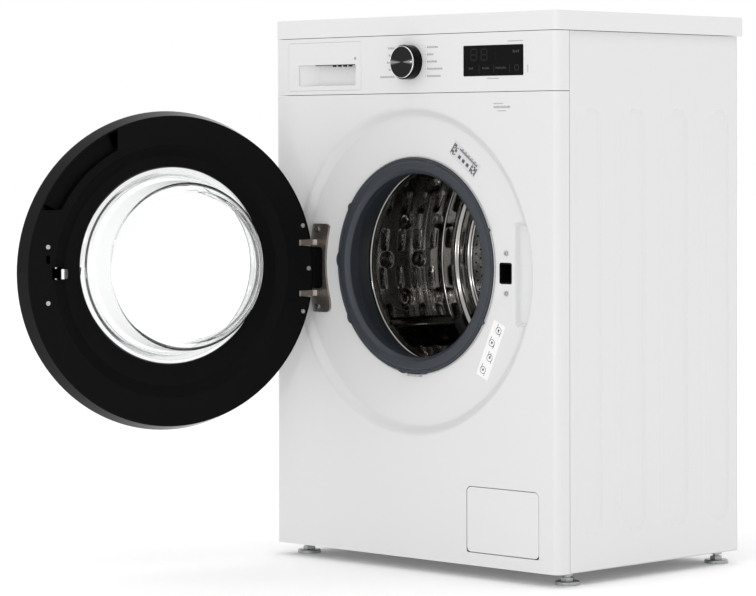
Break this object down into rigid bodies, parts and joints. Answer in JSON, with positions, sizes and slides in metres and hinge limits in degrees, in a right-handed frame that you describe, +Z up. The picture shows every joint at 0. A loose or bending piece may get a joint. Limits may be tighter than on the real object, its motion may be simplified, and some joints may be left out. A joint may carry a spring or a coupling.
{
  "type": "front load washing machine",
  "caption": "Slim front-loading washing machine with a round glass door on a side hinge, rotary program knob, touch display, detergent drawer and levelling feet.",
  "frame": {"origin": "centre of the four foot pads, on the floor", "axes": "+Z up, -Y the front with the door and controls, +X to the right seen from the front; the door is open at rest"},
  "size_m": [0.6851, 0.9078, 0.85],
  "materials": {
    "white_enamel": "smooth white enamelled sheet steel",
    "white_top": "white laminate",
    "white_plastic": "white moulded plastic",
    "black_gloss": "black glossy plastic",
    "black_matte": "black matt moulded plastic",
    "zinc": "zinc plated steel",
    "cast_zinc": "cast metal, satin",
    "stainless": "polished stainless steel",
    "chrome": "bright chrome",
    "tinted_cover": "dark tinted cover",
    "clear_glass": "clear pressed glass",
    "grey_rubber": "slate grey moulded rubber",
    "dark_rubber": "black rubber",
    "grey_plastic": "grey filled plastic",
    "board_green": "printed circuit board",
    "concrete": "cast concrete",
    "aluminium": "die-cast aluminium",
    "steel": "plain steel",
    "copper_winding": "enamelled winding"
  },
  "bodies": {
    "cabinet": {"worktop": "white_top", "left_side_panel": "white_enamel", "right_side_panel": "white_enamel", "front_panel": "white_enamel", "control_panel": "white_plastic", "back_panel": "zinc", "floor_pan": "zinc", "top_brace": "zinc", "display_window": "black_gloss", "display_board": "board_green", "main_board": "grey_plastic", "dispenser_housing": "white_plastic", "inlet_valve": "white_plastic", "door_lock": "black_matte", "hinge_bracket": "cast_zinc", "hinge_reinforcement": "black_matte", "cabinet_screws": "steel", "drain_pump": "grey_plastic", "drain_outlet": "grey_plastic", "damper_cylinders": "grey_plastic", "cord_gland": "black_matte", "transit_caps": "white_plastic", "gasket": "grey_rubber", "gasket_front_clamp": "steel", "filter_recess": "white_plastic", "foot_lock_nuts": "zinc", "sump_hose": "dark_rubber", "tub_fill_hose": "dark_rubber", "suspension_springs": "steel"},
    "tub": {"tub_front": "grey_plastic", "tub_rear": "grey_plastic", "counterweights": "concrete", "damper_rods": "grey_plastic", "stator": "copper_winding", "bearings": "steel", "heater": "steel"},
    "drum": {"drum_shell": "stainless", "drum_back": "stainless", "drum_lifters": "stainless", "drum_spider": "aluminium", "drum_shaft": "steel", "rotor": "steel"},
    "door": {"door_rim": "black_gloss", "door_inner_cover": "black_matte", "door_outer_cover": "tinted_cover", "window_ring": "chrome", "glass_bowl": "clear_glass", "hinge_block": "black_matte", "door_screws": "steel"},
    "latch": {"latch_hook": "chrome"},
    "knob": {"program_knob": "black_gloss", "knob_ring": "chrome"},
    "drawer": {"drawer_front": "white_plastic", "drawer_box": "white_plastic"},
    "flap": {"pump_flap": "white_plastic"},
    "filter": {"drain_filter_cap": "grey_plastic"},
    "foot_front_left": {"front_left_foot": "zinc"},
    "foot_front_right": {"front_right_foot": "zinc"},
    "foot_rear_left": {"rear_left_foot": "zinc"},
    "foot_rear_right": {"rear_right_foot": "zinc"}
  },
  "joints": [
    {"name": "door_hinge", "type": "hinge", "parent": "cabinet", "child": "door", "pos_m": [-0.224, -0.245, 0.459], "axis": [0, 0, 1], "range_deg": [0, 108]},
    {"name": "latch_hook_turn", "type": "hinge", "parent": "door", "child": "latch", "pos_m": [-0.34862, -0.63824, 0.4585], "axis": [0, 0, 1], "range_deg": [-8, 0], "stiffness_Nm_per_rad": 0.6, "springref_deg": 8.59},
    {"name": "tub_suspension", "type": "slide", "parent": "cabinet", "child": "tub", "axis": [0, 0, 1], "range_m": [-0.008, 0.008], "stiffness_N_per_m": 16000, "springref_m": 0.01996, "deforming": ["suspension_springs", "sump_hose", "tub_fill_hose", "gasket"]},
    {"name": "drum_spin", "type": "hinge", "parent": "tub", "child": "drum", "pos_m": [0, 0.102, 0.4675], "axis": [0, 1, 0], "continuous": true},
    {"name": "knob_turn", "type": "hinge", "parent": "cabinet", "child": "knob", "pos_m": [0, -0.225, 0.7787], "axis": [0, 1, 0], "continuous": true},
    {"name": "drawer_slide", "type": "slide", "parent": "cabinet", "child": "drawer", "axis": [0, -1, 0], "range_m": [0, 0.18]},
    {"name": "flap_hinge", "type": "hinge", "parent": "cabinet", "child": "flap", "pos_m": [0.19, -0.22, 0.0466], "axis": [1, 0, 0], "range_deg": [0, 90]},
    {"name": "filter_cap_turn", "type": "hinge", "parent": "cabinet", "child": "filter", "pos_m": [0.19, -0.205, 0.088], "axis": [0, -1, 0], "range_deg": [0, 270]},
    {"name": "front_left_foot_turn", "type": "hinge", "parent": "cabinet", "child": "foot_front_left", "pos_m": [-0.275, -0.175, 0.01], "axis": [0, 0, 1], "continuous": true},
    {"name": "front_right_foot_turn", "type": "hinge", "parent": "cabinet", "child": "foot_front_right", "pos_m": [0.275, -0.175, 0.01], "axis": [0, 0, 1], "continuous": true},
    {"name": "rear_left_foot_turn", "type": "hinge", "parent": "cabinet", "child": "foot_rear_left", "pos_m": [-0.275, 0.175, 0.01], "axis": [0, 0, 1], "continuous": true},
    {"name": "rear_right_foot_turn", "type": "hinge", "parent": "cabinet", "child": "foot_rear_right", "pos_m": [0.275, 0.175, 0.01], "axis": [0, 0, 1], "continuous": true}
  ]
}
